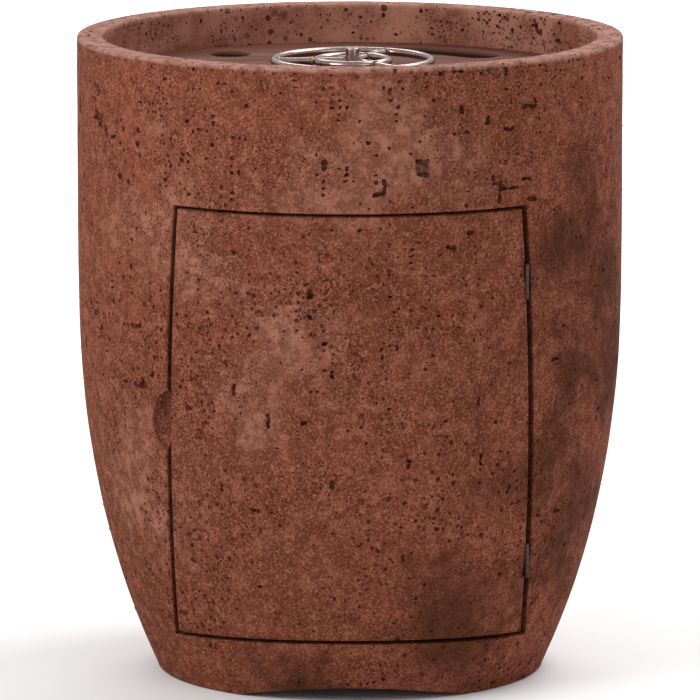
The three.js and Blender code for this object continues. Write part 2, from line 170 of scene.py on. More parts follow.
def volume(obj):
    corners = [v.co for v in obj.data.vertices]
    total = 0.0
    for face in obj.data.polygons:
        first, *rest = [corners[i] for i in face.vertices]
        for here, there in zip(rest, rest[1:]):
            total += first.dot(here.cross(there)) / 6
    return total


def tidy_normals(obj, merge=1e-6):
    edit(obj)
    bpy.ops.mesh.remove_doubles(threshold=merge)
    bpy.ops.mesh.normals_make_consistent(inside=False)
    done()
    if volume(obj) < 0:
        only(obj)
        obj.data.flip_normals()
    return obj


# %% [markdown]
# ## Turning a profile
# A round concrete casting comes out of a round mould, and a round steel part off a
# lathe. Both are made here the same way: one point is extruded along the outline of
# half a section, and the line is spun once round the upright axis.

# %% A lathe for round pieces
def start_point(name, place):
    nothing_selected()
    bpy.ops.mesh.primitive_plane_add(size=MM, location=(0, 0, 0))
    obj = named(name)
    edit(obj)
    bpy.ops.mesh.merge(type="CENTER")
    bpy.ops.transform.translate(value=place)
    return obj


def turned(name, outline, steps, centre=(0, 0, 0)):
    points = [Vector((radius, 0, z)) for radius, z in outline]
    obj = start_point(name, points[0])
    for here, there in zip(points, points[1:]):
        bpy.ops.mesh.extrude_region_move(TRANSFORM_OT_translate={"value": there - here})
    bpy.ops.mesh.select_all(action="SELECT")
    bpy.ops.mesh.spin(steps=steps, angle=math.tau, center=(0, 0, 0), axis=(0, 0, 1))
    bpy.ops.mesh.select_all(action="SELECT")
    bpy.ops.transform.translate(value=centre)
    done()
    return tidy_normals(obj)


def rounded(corner, radius, start, turn=90, steps=3):
    """Points of a small arc: corner is its centre, start the angle it begins at."""
    arc = []
    for i in range(steps + 1):
        a = math.radians(start + turn * i / steps)
        arc.append((corner[0] + radius * math.cos(a), corner[1] + radius * math.sin(a)))
    return arc


def spaced(low, high, step):
    count = max(1, round((high - low) / step))
    return [low + (high - low) * i / count for i in range(count + 1)]


# %% [markdown]
# ## The body and the blank for the door
# The outside is divided into cells of about seven millimetres, small enough for pits to
# be pressed into single cells later on. The inside is never seen close up and stays
# coarse. The door is cut from a second turning with exactly the same skin, so that the
# two meet without a step.

# %% Turn the body
CELL = 0.0064
SPOKES = 240
EASE = 0.002
FOOT_EASE = 0.004


def skin_heights(low, high):
    return [(outer_radius(z), z) for z in spaced(low, high, CELL)]


def body_outline():
    bore = RIM_RADIUS - WALL
    foot = (outer_radius(FOOT_EASE) - FOOT_EASE, FOOT_EASE)
    outside = skin_heights(FOOT_EASE, HEIGHT - EASE)
    rim = rounded((RIM_RADIUS - EASE, HEIGHT - EASE), EASE, 0)[1:]
    rim += [(RIM_RADIUS - 0.0085, HEIGHT), (RIM_RADIUS - 0.0155, HEIGHT)]
    rim += rounded((bore + EASE, HEIGHT - EASE), EASE, 90)
    bowl = [(bore, z) for z in reversed(spaced(LEDGE_TOP, HEIGHT - EASE, CELL))][1:]
    ledge = [(LEDGE_RADIUS, LEDGE_TOP), (LEDGE_RADIUS, LEDGE_BOTTOM)]
    ledge += [(bore, LEDGE_BOTTOM - (bore - LEDGE_RADIUS))]
    inside = [(outer_radius(z) - WALL, z) for z in reversed(spaced(0, 0.5, 0.02))]
    under = [(foot[0] - 0.008, 0)] + rounded(foot, FOOT_EASE, -90)[:-1] + outside[:1]
    return outside + rim + bowl + ledge + inside + under


body = turned("fire_column_body", body_outline(), SPOKES)
print(body.name, len(body.data.polygons), "faces")

# %% Turn the blank for the door
DOOR_LOW, DOOR_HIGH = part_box("door_panel")[0].z - 0.02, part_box("door_panel")[1].z + 0.02


def door_outline_section():
    outside = skin_heights(DOOR_LOW, DOOR_HIGH)
    inside = [(outer_radius(z) - WALL, z) for z in reversed(spaced(DOOR_LOW, DOOR_HIGH, 0.02))]
    return outside + inside + outside[:1]


door = turned("cabinet_door", door_outline_section(), SPOKES)
print(door.name, len(door.data.polygons), "faces")

# %% [markdown]
# ## A skin that came out of a mould
# No casting is a perfect lathe shape. Each point of the skin is slid a little sideways
# and up or down, so that the cells lose their regular rows, and the skin itself swells
# and sinks by a fraction of a millimetre. The swell depends only on the place, and so
# the body and the door still agree.

# %% Unsettle the skin
def swell(point):
    return 0.00035 * noise.noise(point * 9) + 0.0002 * noise.noise(point * 31)


def unsettle(obj, seed, low, high):
    draw = random.Random(seed)
    bore = RIM_RADIUS - WALL
    for vertex in obj.data.vertices:
        x, y, z = vertex.co
        radius, angle = math.hypot(x, y), math.atan2(y, x)
        slide, lift = draw.uniform(-1, 1), draw.uniform(-1, 1)
        on_skin = abs(radius - outer_radius(z)) < 1e-5 and low < z < high
        in_bowl = abs(radius - bore) < 1e-5 and FLOOR_Z + 0.004 < z < HEIGHT - 0.006
        if not (on_skin or in_bowl):
            continue
        z += lift * 0.0018
        angle += slide * 0.0021 / radius
        if on_skin:
            radius = outer_radius(z)
            radius += swell(Vector((radius * math.cos(angle), radius * math.sin(angle), z)))
        vertex.co = radius * math.cos(angle), radius * math.sin(angle), z


unsettle(body, 11, 0.012, HEIGHT - 0.008)
unsettle(door, 12, DOOR_LOW + 0.004, DOOR_HIGH - 0.004)

# %% [markdown]
# ## The tool that cuts the doorway
# The doorway is a little barrel-shaped, and its cut faces run inwards towards a line
# behind the middle of the column, square to the leaning hinge axis. The tool is a flat
# grid, rolled into a tube along the outline of the doorway. Its outermost rings flare,
# which leaves the small eased edge that a caster rubs on green concrete.

# %% Place the hinge axis
hinge_places = {
    "lower": on_front(0.1706, 0.1355) - Vector((0, 0.002, 0)),
    "upper": on_front(0.1687, 0.4145) - Vector((0, 0.0005, 0)),
}
hinge_axis = (hinge_places["upper"] - hinge_places["lower"]).normalized()
LEAN = hinge_axis.y / hinge_axis.z


def inwards(point):
    flat = Vector((-point.x, 0.1 - point.y, 0))
    flat.z = -LEAN * flat.y
    return flat.normalized()


print("hinge axis leans", round(math.degrees(math.atan(-LEAN)), 1), "degrees")

# %% Draw the doorway
GAP = {"latch": 0.0037, "top": 0.0034, "bottom": 0.004, "hinge": 0.0048}
TOP_Z, SILL_Z, MIDDLE_Z = 0.4858, 0.0636, 0.256
HALF_WIDTH, BOW, BOW_SPAN, SAG = 0.1740, 0.0064, 0.212, 0.0074


def side(z):
    return HALF_WIDTH - BOW * ((z - MIDDLE_Z) / BOW_SPAN) ** 2


def doorway(grow, extra, steps=44):
    """Points round the doorway: grow is 1 for the opening and -1 for the door."""
    def edge(name):
        return grow * GAP[name] / 2 + extra

    top = TOP_Z + edge("top")
    left, right = (lambda z: -side(z) - edge("latch")), (lambda z: side(z) + edge("hinge"))
    sill = lambda x: SILL_Z - SAG * (x / side(SILL_Z)) ** 2 - edge("bottom")
    corner = SILL_Z - SAG
    share = [i / steps for i in range(steps)]
    span = lambda a, b: [a + (b - a) * t for t in share]
    points = [on_front(x, sill(x)) for x in span(left(corner), right(corner))]
    points += [on_front(right(z), z) for z in span(sill(right(corner)), top)]
    points += [on_front(x, top) for x in span(right(top), left(top))]
    points += [on_front(left(z), z) for z in span(top, sill(left(corner)))]
    return points


# %% Roll the cutting tool
def doorway_tool(name, grow):
    rings = [(-0.030, 0.0011), (0.0, 0.0011), (0.0005, 0.0004), (0.0012, 0.0), (0.062, 0.0)]
    loops = []
    for depth, flare in rings:
        points = doorway(grow, grow * flare)
        loops.append([p + inwards(p) * depth for p in points])
    count = len(loops[0])
    front, back = (Vector((0, y - RIM_RADIUS, MIDDLE_Z)) for y in (-0.042, 0.09))
    loops = [[front] * count, *loops, [back] * count]
    nothing_selected()
    bpy.ops.mesh.primitive_grid_add(x_subdivisions=count, y_subdivisions=len(loops) - 1, size=1)
    tool = named(name)
    for index, vertex in enumerate(tool.data.vertices):
        row, column = divmod(index, count + 1)
        vertex.co = loops[row][column % count]
    return tidy_normals(tool)


body = boolean(body, doorway_tool("doorway_tool", 1))
door = boolean(door, doorway_tool("door_tool", -1), "INTERSECT")
print("door after the cut:", len(door.data.polygons), "faces")

# %% [markdown]
# ## Arch, finger scoop and hinge seats
# The foot is lifted in front and behind by one very shallow arch, so that the column
# stands on its two sides. A dished scoop beside the latch edge lets a finger reach
# behind the door. Each hinge sits in a slot with a groove for its knuckle.

# %% Cut the foot arch
ARCH_WIDTH, ARCH_HEIGHT = 0.223, 0.015
arch_radius = (ARCH_WIDTH ** 2 / 4 + ARCH_HEIGHT ** 2) / (2 * ARCH_HEIGHT)
nothing_selected()
bpy.ops.mesh.primitive_cylinder_add(vertices=360, radius=arch_radius, depth=0.6,
                                    location=(0, 0, ARCH_HEIGHT - arch_radius),
                                    rotation=(math.pi / 2, 0, 0))
body = boolean(body, named("arch_tool"))

# %% Press the finger scoop
SCOOP_X, SCOOP_Z, SCOOP_REACH, SCOOP_TALL, SCOOP_DEEP = -0.1888, 0.275, 0.0195, 0.063, 0.019
scoop_radius = (SCOOP_TALL ** 2 / 4 + SCOOP_REACH ** 2) / (2 * SCOOP_REACH)
scoop_edge = on_front(SCOOP_X, SCOOP_Z)
scoop_turn = math.atan2(scoop_edge.x, -scoop_edge.y)
along = Vector((math.cos(scoop_turn), math.sin(scoop_turn), 0))
nothing_selected()
bpy.ops.mesh.primitive_uv_sphere_add(segments=72, ring_count=40, radius=1,
                                     location=scoop_edge + along * scoop_radius,
                                     rotation=(0, 0, scoop_turn),
                                     scale=(scoop_radius, SCOOP_DEEP, scoop_radius))
body = boolean(body, named("scoop_tool"))

# %% Cut the hinge seats
LEAF_REACH, SEAT_DEEP, SEAT_HALF, GROOVE = 0.0208, 0.00215, 0.0178, 0.0027


def hinge_frame(place):
    into = inwards(place)
    into = (into - hinge_axis * into.dot(hinge_axis)).normalized()
    across = hinge_axis.cross(into)
    turn = Matrix((into, across, hinge_axis)).transposed()
    return Matrix.Translation(place) @ turn.to_4x4()


def hinge_seat_tools(place):
    at = hinge_frame(place)
    nothing_selected()
    bpy.ops.mesh.primitive_cube_add(size=1, location=(LEAF_REACH / 2, 0, 0),
                                    scale=(LEAF_REACH, 2 * SEAT_DEEP, 2 * SEAT_HALF))
    slot = named("leaf_slot_tool")
    bpy.ops.object.transform_apply(location=True, rotation=True, scale=True)
    nothing_selected()
    bpy.ops.mesh.primitive_cylinder_add(vertices=40, radius=GROOVE, depth=2 * SEAT_HALF)
    groove = named("knuckle_groove_tool")
    for tool in (slot, groove):
        tool.data.transform(at)
    return slot, groove


for place in hinge_places.values():
    for tool in hinge_seat_tools(place):
        boolean(body, tool, keep=True)
        boolean(door, tool)
print("body", len(body.data.polygons), "faces, door", len(door.data.polygons), "faces")

# %% [markdown]
# ## Room for the door to swing
# A thick door on a leaning axis strikes the wall beside its hinges unless its edge is
# taken back. A fitter would swing it, see where it rubs, and file there. So a copy of
# that part of the wall is turned back through the door, a few degrees at a time, and
# whatever it touches is removed.

# %% File the hinge edge of the door
DOOR_OPENS = 80
DOOR_VOLUME = volume(door)


def wall_beside_hinges():
    only(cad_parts["body_shell"])
    bpy.ops.object.duplicate()
    copy = named("wall_copy_tool")
    copy.parent = None
    tidy_normals(copy)
    nothing_selected()
    bpy.ops.mesh.primitive_cube_add(size=1, location=(0.1575, -0.16, 0.2375),
                                    scale=(0.095, 0.14, 0.385))
    return boolean(copy, named("wall_box_tool"), "INTERSECT")


def file_door_edge():
    wall = wall_beside_hinges()
    clear = Vector((-0.0002, -0.0014, 0.0006))
    pivot = hinge_places["lower"]
    rest = wall.data.copy()
    for angle in range(38, DOOR_OPENS + 2, 3):
        turn_back = Matrix.Translation(pivot) @ Matrix.Rotation(math.radians(-angle), 4, hinge_axis)
        wall.data = rest.copy()
        wall.data.transform(turn_back @ Matrix.Translation(clear - pivot))
        unfiled = door.data.copy()
        boolean(door, wall, keep=True)
        if volume(door) < 0.99 * DOOR_VOLUME:  # a cut that went wrong is taken back
            door.data = unfiled
            print("kept the door as it was at", angle, "degrees")
        edit(door)
        bpy.ops.mesh.remove_doubles(threshold=2e-5)
        done()
    bpy.data.objects.remove(wall)


file_door_edge()
print("door filed:", len(door.data.polygons), "faces")

# %% [markdown]
# ## Pits
# This concrete is poured dry and packed by hand, so air is trapped against the mould
# and opens as pits. They gather in drifts: a few wide deep ones, many small ones, and
# clean skin in between. Cells of the skin are picked by a smooth noise and a seeded
# draw, each is inset twice, flat and then downwards, and the floor of every pit is
# marked for the finish to darken with painted shade.

# %% Pick cells for the pits
PIT_SIZES = [  # share of the skin, flat margin, cut corner, depth, seed
    (0.017, 0.00120, 0.00130, 0.0034, 3),
    (0.055, 0.00175, 0.00085, 0.0023, 5),
    (0.090, 0.00225, 0.00050, 0.0015, 7),
]


def drift(point, seed):
    """How thickly pits gather at a place, from 0 to about 3."""
    wide = noise.noise(point * 7 + Vector((seed, 0, 0)))
    close = noise.noise(point * 26 + Vector((0, seed, 0)))
    upper_right = 1 / (1 + math.exp(-14 * (point.z - 0.46 + 0.35 * (0.08 - point.x))))
    return max(0.0, 0.35 + 2.2 * wide + 1.6 * close) * (0.55 + 1.1 * upper_right)


def is_skin(face):
    x, y, z = face.center
    radius = math.hypot(x, y)
    outside = abs(radius - outer_radius(z)) < 0.0008 and z < HEIGHT - 0.004
    bowl = abs(radius - (RIM_RADIUS - WALL)) < 0.0008 and z > FLOOR_Z + 0.006
    rim = face.normal.z > 0.9 and z > HEIGHT - 0.001
    return len(face.vertices) == 4 and 2.4e-5 < face.area < 8e-5 and (outside or bowl or rim)


def pit_cells(obj, share, seed):
    """Cells to press: single ones, and for the widest pits a neighbour or two as well."""
    draw = random.Random(seed)
    pressed = obj.data.attributes["pit"].data
    free = {f.index for f in obj.data.polygons if is_skin(f) and pressed[f.index].value == 0}
    beside = {}
    for face in obj.data.polygons:
        if face.index in free:
            for edge in face.edge_keys:
                beside.setdefault(edge, []).append(face.index)
    cells = set()
    for face in obj.data.polygons:
        luck, runs = draw.random(), draw.random()
        if face.index not in free or luck >= share * drift(face.center, seed):
            continue
        cells.add(face.index)
        if seed == 3 and runs < 0.65:
            edge = face.edge_keys[int(runs * 97) % 4]
            cells.update(beside[edge])
    return cells


def select_faces(obj, wanted):
    edit(obj, "DESELECT")
    bpy.ops.mesh.select_mode(type="FACE")
    done()
    for face in obj.data.polygons:
        face.select = wanted(face)
    edit(obj, "AS IS")
    bpy.ops.mesh.select_mode(type="FACE")


def ragged(obj, faces, reach, seed):
    """Slides the corners of the chosen faces along the skin, so that no two outlines match."""
    draw = random.Random(seed * 31)
    for index in sorted({v for f in faces for v in obj.data.polygons[f].vertices}):
        point = obj.data.vertices[index].co
        sideways = Vector((-point.y, point.x, 0)).normalized() * draw.uniform(-reach, reach)
        point += sideways + Vector((0, 0, 1)) * (draw.uniform(-reach, reach) if point.z < HEIGHT - 0.001 else 0)


def press_pits(obj):
    obj.data.attributes.new("pit", "FLOAT", "FACE")
    total = 0
    for share, margin, corner, depth, seed in PIT_SIZES:
        cells = pit_cells(obj, share, seed)
        single = seed != 3
        select_faces(obj, lambda face: face.index in cells)
        bpy.ops.mesh.inset(thickness=margin, depth=0, use_individual=single)
        bpy.ops.mesh.bevel(offset=corner, affect="VERTICES", segments=1)
        done()
        inner = {f.index for f in obj.data.polygons if f.select and len(f.vertices) > 4}
        ragged(obj, inner, 0.0002, seed)
        select_faces(obj, lambda face: face.index in inner)
        bpy.ops.mesh.inset(thickness=0.0003, depth=-depth, use_individual=single, use_even_offset=False)
        done()
        draw = random.Random(seed)
        # The pit mark also says how strongly the finish paints shade into each pit floor.
        values = obj.data.attributes["pit"].data
        for face in obj.data.polygons:
            if face.select:
                values[face.index].value = draw.uniform(0.45, 1)
                total += 1
    print(obj.name, total, "pits,", sum(len(f.vertices) - 2 for f in obj.data.polygons), "triangles")


def hold_in_skin(obj):
    """Draws back any point that a crowded corner has pushed out of the skin."""
    for vertex in obj.data.vertices:
        x, y, z = vertex.co
        z = min(z, HEIGHT)
        most = outer_radius(z) + 0.0006
        radius = math.hypot(x, y)
        if radius > most:
            x, y = x * most / radius, y * most / radius
        vertex.co = x, y, z


press_pits(body)
press_pits(door)
hold_in_skin(body)
hold_in_skin(door)
smooth(body)
smooth(door)

# %% [markdown]
# ## The bowl floor
# The floor of the bowl is a loose slab with a seat for the round cover plate, one round
# vent at the back left and one long curved vent at the back right. Its top was trowelled
# and not moulded, so it is smooth. The curved vent is a round bar swept part of the way
# round the column: a circle for the ends, stretched along an arc.

# %% Turn the floor and cut its vents
SLAB_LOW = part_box("burner_deck")[0].z
SLAB_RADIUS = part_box("burner_deck")[1].x
PLATE_LOW, PLATE_HIGH = (corner.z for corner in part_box("burner_plate"))
PLATE_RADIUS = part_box("burner_plate")[1].x
SEAT_RADIUS, SEAT_Z, SEAT_LEDGE = PLATE_RADIUS + 0.0006, PLATE_LOW - 0.0003, 0.015
VENT_X, VENT_Y, VENT_RADIUS = -0.1195, 0.144, 0.0204
CURVED_VENT = {"inner": 0.165, "outer": 0.207, "from": 17.6, "to": 43.5}


def floor_outline():
    soft = 0.0014
    hole = SEAT_RADIUS - SEAT_LEDGE
    top = [(r, FLOOR_Z) for r in reversed(spaced(SEAT_RADIUS + soft, SLAB_RADIUS - soft, 0.008))]
    outline = [(hole, SLAB_LOW), (SLAB_RADIUS, SLAB_LOW)]
    outline += rounded((SLAB_RADIUS - soft, FLOOR_Z - soft), soft, 0) + top[1:]
    outline += rounded((SEAT_RADIUS + soft, FLOOR_Z - soft), soft, 90)[1:]
    return outline + [(SEAT_RADIUS, SEAT_Z), (hole, SEAT_Z), (hole, SLAB_LOW)]


def curved_vent_tool():
    inner, outer = CURVED_VENT["inner"], CURVED_VENT["outer"]
    first, last = (math.radians(90 - CURVED_VENT[end]) for end in ("from", "to"))
    middle, half = (inner + outer) / 2, (outer - inner) / 2
    points = []
    for i in range(25):
        a = first + (last - first) * i / 24
        points.append((outer * math.cos(a), outer * math.sin(a)))
    for i in range(1, 12):
        a = last - math.pi * i / 12
        points.append((middle * math.cos(last) + half * math.cos(a),
                       middle * math.sin(last) + half * math.sin(a)))
    for i in range(25):
        a = last + (first - last) * i / 24
        points.append((inner * math.cos(a), inner * math.sin(a)))
    for i in range(1, 12):
        a = first + math.pi - math.pi * i / 12
        points.append((middle * math.cos(first) + half * math.cos(a),
                       middle * math.sin(first) + half * math.sin(a)))
    nothing_selected()
    bpy.ops.mesh.primitive_circle_add(vertices=len(points), fill_type="NGON")
    tool = named("curved_vent_tool")
    for vertex, (x, y) in zip(tool.data.vertices, points):
        vertex.co = x, y, SLAB_LOW - 0.01
    edit(tool)
    bpy.ops.mesh.extrude_region_move(TRANSFORM_OT_translate={"value": (0, 0, 0.05)})
    done()
    return tidy_normals(tool)


bowl_floor = turned("bowl_floor", floor_outline(), 160)
nothing_selected()
bpy.ops.mesh.primitive_cylinder_add(vertices=64, radius=VENT_RADIUS, depth=0.08,
                                    location=(VENT_X, VENT_Y, FLOOR_Z))
boolean(bowl_floor, named("round_vent_tool"))
boolean(bowl_floor, curved_vent_tool())
only(bowl_floor)
bevel = bowl_floor.modifiers.new("soft_vent_edges", "BEVEL")
bevel.width, bevel.segments, bevel.limit_method = 0.0009, 2, "ANGLE"
bevel.angle_limit = math.radians(60)
bpy.ops.object.modifier_apply(modifier=bevel.name)
smooth(bowl_floor)
print(bowl_floor.name, len(bowl_floor.data.polygons), "faces")

# %% Turn the cover plate
BURNER_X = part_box("burner_hub")[0].x / 2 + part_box("burner_hub")[1].x / 2


def plate_outline():
    soft = 0.0012
    hole = 0.006
    top = [(r, PLATE_HIGH) for r in reversed(spaced(0.02, PLATE_RADIUS - soft, 0.012))]
    outline = [(hole, PLATE_LOW), (PLATE_RADIUS, PLATE_LOW)]
    outline += rounded((PLATE_RADIUS - soft, PLATE_HIGH - soft), soft, 0) + top[1:]
    return outline + [(hole, PLATE_HIGH), (hole, PLATE_LOW)]


cover_plate = smooth(turned("burner_cover_plate", plate_outline(), 160))
print(cover_plate.name, len(cover_plate.data.polygons), "faces")

# %% [markdown]
# ## The burner
# The burner is bent from one size of polished stainless tube: two rings on three short
# spokes, welded to an upright post in the middle. A ring is a torus with small gas
# ports drilled in a row, and each weld is a lumpy little collar where two tubes meet.

# %% Bend the rings and drill their ports
TUBE = 0.004
RING_Z = sum(corner.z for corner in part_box("outer_burner_ring")) / 2
RINGS = {"outer_burner_ring": (0.0767, 36), "inner_burner_ring": (0.035, 18)}


def ring_tube(name, radius, ports):
    nothing_selected()
    bpy.ops.mesh.primitive_torus_add(major_radius=radius, minor_radius=TUBE, major_segments=ports * 5,
                                     minor_segments=20, location=(BURNER_X, 0, RING_Z))
    ring = named(name)
    bpy.ops.object.transform_apply(location=True, rotation=True, scale=True)
    edit(ring, "DESELECT")
    bpy.ops.mesh.select_mode(type="FACE")
    done()
    for face in ring.data.polygons:
        flat = face.center - Vector((BURNER_X, 0, RING_Z))
        around = math.degrees(math.atan2(flat.y, flat.x)) % (360 / ports)
        outward = face.normal.dot(Vector((flat.x, flat.y, 0)).normalized())
        face.select = around < 72 / ports and 0.5 < outward < 0.72 and face.normal.z < -0.5
    edit(ring, "AS IS")
    bpy.ops.mesh.select_mode(type="FACE")
    bpy.ops.mesh.inset(thickness=0.0002, depth=0, use_individual=True)
    bpy.ops.mesh.inset(thickness=0.0001, depth=-0.0008, use_individual=True)
    done()
    return smooth(ring, 40)


burner = {f"{name}_tube": ring_tube(f"{name}_tube", radius, ports) for name, (radius, ports) in RINGS.items()}
for name, ring in burner.items():
    print(name, len(ring.data.polygons), "faces")

# %% Cut the spokes and build the weld collars
SPOKE_ANGLES = (64, 184, 304)
HUB_RADIUS = 0.00675


def tube_along(name, radius, start, end, angle, lump=0.0, rows=6):
    """A tube lying on a spoke line, with its ends rounded over and its skin a bit lumpy."""
    length = end - start
    profile = [(0, 0), (radius * 0.72, 0.0)] + [(radius, length * (0.08 + 0.84 * i / rows)) for i in range(rows + 1)]
    profile += [(radius * 0.72, length), (0, length)]
    tube = turned(name, profile, 28)
    draw = random.Random(angle)
    for vertex in tube.data.vertices:
        vertex.co.z += lump * 0.0004 * draw.uniform(-1, 1)
        vertex.co.x *= 1 + lump * draw.uniform(-1, 1)
        vertex.co.y *= 1 + lump * draw.uniform(-1, 1)
    lie_down = Matrix.Rotation(math.radians(angle), 4, "Z") @ Matrix.Rotation(math.pi / 2, 4, "Y")
    out = Vector((math.cos(math.radians(angle)), math.sin(math.radians(angle)), 0)) * start
    tube.data.transform(Matrix.Translation(Vector((BURNER_X, 0, RING_Z)) + out) @ lie_down)
    return smooth(tube, 40)


inner, outer = RINGS["inner_burner_ring"][0], RINGS["outer_burner_ring"][0]
for number, angle in enumerate(SPOKE_ANGLES, 1):
    burner[f"inner_spoke_tube_{number}"] = tube_along(
        f"inner_spoke_tube_{number}", TUBE - 0.0004, HUB_RADIUS - 0.001, inner - 0.002, angle)
    burner[f"outer_spoke_tube_{number}"] = tube_along(
        f"outer_spoke_tube_{number}", TUBE - 0.0004, inner + 0.002, outer - 0.002, angle)
welds = []
for number, angle in enumerate(SPOKE_ANGLES, 1):
    for place, radius in (("hub", HUB_RADIUS + 0.0005), ("inner", inner - TUBE - 0.0018),
                          ("between", inner + TUBE - 0.0004), ("outer", outer - TUBE - 0.0018)):
        welds.append(tube_along(f"weld_{place}_{number}", TUBE + 0.0005, radius, radius + 0.0022,
                                angle, lump=0.06, rows=3))
print(len(welds), "weld collars")

# %% Turn the post and its collar
POST_LOW, POST_HIGH = (corner.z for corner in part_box("burner_hub"))
COLLAR_LOW, COLLAR_HIGH = (corner.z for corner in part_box("hub_flange"))


def post_outline():
    top = rounded((HUB_RADIUS - 0.001, POST_HIGH - 0.001), 0.001, 0)
    crown = [(0.0034, POST_HIGH), (0.0030, POST_HIGH - 0.0006), (0, POST_HIGH - 0.0006)]
    groove = [(HUB_RADIUS, POST_LOW + 0.002), (HUB_RADIUS - 0.0004, POST_LOW + 0.0024),
              (HUB_RADIUS - 0.0004, POST_LOW + 0.003), (HUB_RADIUS, POST_LOW + 0.0034)]
    return [(0, POST_LOW), (HUB_RADIUS, POST_LOW)] + groove + top + crown


burner["burner_post"] = smooth(turned("burner_post", post_outline(), 48, (BURNER_X, 0, 0)))
collar_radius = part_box("hub_flange")[1].x - BURNER_X
burner["post_collar"] = smooth(turned("post_collar", [
    (0.0053, COLLAR_LOW), (collar_radius, COLLAR_LOW),
    *rounded((collar_radius - 0.0008, COLLAR_HIGH - 0.0008), 0.0008, 0),
    (0.0053, COLLAR_HIGH), (0.0053, COLLAR_LOW)], 48, (BURNER_X, 0, 0)))

# %% [markdown]
# ## What each piece stands for
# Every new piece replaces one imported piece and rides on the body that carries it. The
# welds belong to the burner and ride with the column.

# %% Ride, replace and name the finish
STANDS_FOR = {
    body: ("column", "body_shell", "cast_concrete"),
    door: ("door", "door_panel", "cast_concrete"),
    bowl_floor: ("column", "burner_deck", "bowl_concrete"),
    cover_plate: ("column", "burner_plate", "bowl_concrete"),
    burner["burner_post"]: ("column", "burner_hub", "stainless"),
    burner["post_collar"]: ("column", "hub_flange", "stainless"),
}
for name in RINGS:
    STANDS_FOR[burner[f"{name}_tube"]] = ("column", name, "stainless")
for number in (1, 2, 3):
    for place in ("inner", "outer"):
        STANDS_FOR[burner[f"{place}_spoke_tube_{number}"]] = ("column", f"{place}_spoke_{number}", "stainless")
for piece, (rides, node, slot) in STANDS_FOR.items():
    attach(piece, rides)
    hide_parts(node)
for weld in welds:
    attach(weld, "column")
print(len(STANDS_FOR), "pieces stand for packed ones")

# %% [markdown]
# ## Finishes: a shared patchiness
# Cast, rolled and moulded surfaces all vary at several sizes at once. One node group
# gives that: broad patches, blotches the size of a hand, and fine grain, each as a mask.
# Every finish below mixes them in its own strength.

# %% Small helpers for nodes
def node(tree, kind, **settings):
    made = tree.nodes.new("ShaderNode" + kind)
    for key, value in settings.items():
        if key in made.inputs:
            made.inputs[key].default_value = value
        else:
            setattr(made, key, value)
    return made


def link(tree, source, target):
    tree.links.new(source, target)


def ramp(tree, source, low, high, out_low=0.0, out_high=1.0):
    """Turns low..high of a value into out_low..out_high, smoothly."""
    made = node(tree, "MapRange", interpolation_type="SMOOTHSTEP")
    made.inputs["From Min"].default_value, made.inputs["From Max"].default_value = low, high
    made.inputs["To Min"].default_value, made.inputs["To Max"].default_value = out_low, out_high
    link(tree, source, made.inputs["Value"])
    return made.outputs["Result"]


def sums(tree, operation, first, second):
    made = node(tree, "Math", operation=operation)
    for socket, value in zip(made.inputs, (first, second)):
        if isinstance(value, (int, float)):
            socket.default_value = value
        else:
            link(tree, value, socket)
    return made.outputs["Value"]


def blend_colour(tree, mask, below, above, mode="MIX"):
    made = node(tree, "Mix", data_type="RGBA", blend_type=mode)
    for socket, value in zip((made.inputs[0], made.inputs[6], made.inputs[7]), (mask, below, above)):
        if isinstance(value, (int, float)):
            socket.default_value = value
        elif isinstance(value, tuple):
            socket.default_value = (*value, 1)
        else:
            link(tree, value, socket)
    return made.outputs[2]


def group(name, inputs, outputs):
    tree = bpy.data.node_groups.new(name, "ShaderNodeTree")
    for label, kind, value in inputs:
        socket = tree.interface.new_socket(label, in_out="INPUT", socket_type="NodeSocket" + kind)
        if value is not None:
            socket.default_value = value
    for label, kind in outputs:
        tree.interface.new_socket(label, in_out="OUTPUT", socket_type="NodeSocket" + kind)
    return tree, tree.nodes.new("NodeGroupInput"), tree.nodes.new("NodeGroupOutput")


# %% Build the patchiness group
patchiness, patch_in, patch_out = group(
    "patchiness", [("Place", "Vector", None), ("Size", "Float", 1.0)],
    [("Broad", "Float"), ("Blotches", "Float"), ("Grain", "Float"), ("Sand", "Float")])
for label, scale, detail, rough in (("Broad", 3.4, 3, 0.5), ("Blotches", 15, 6, 0.62),
                                    ("Grain", 85, 5, 0.6), ("Sand", 420, 3, 0.6)):
    pattern = node(patchiness, "TexNoise", Detail=detail, Roughness=rough)
    link(patchiness, patch_in.outputs["Place"], pattern.inputs["Vector"])
    link(patchiness, sums(patchiness, "MULTIPLY", patch_in.outputs["Size"], scale), pattern.inputs["Scale"])
    link(patchiness, ramp(patchiness, pattern.outputs["Fac"], 0.3, 0.7), patch_out.inputs[label])
print("built", patchiness.name)

# %% [markdown]
# ## Small pits in the finish
# Pits smaller than a cell of the skin are left to the finish. Worley noise puts one
# point in each cell of space, and a pit is whatever lies close to a point. A second
# noise says how close, so the pits gather in drifts and vanish between them, and the
# place is shaken a little first, so that no pit is perfectly round.

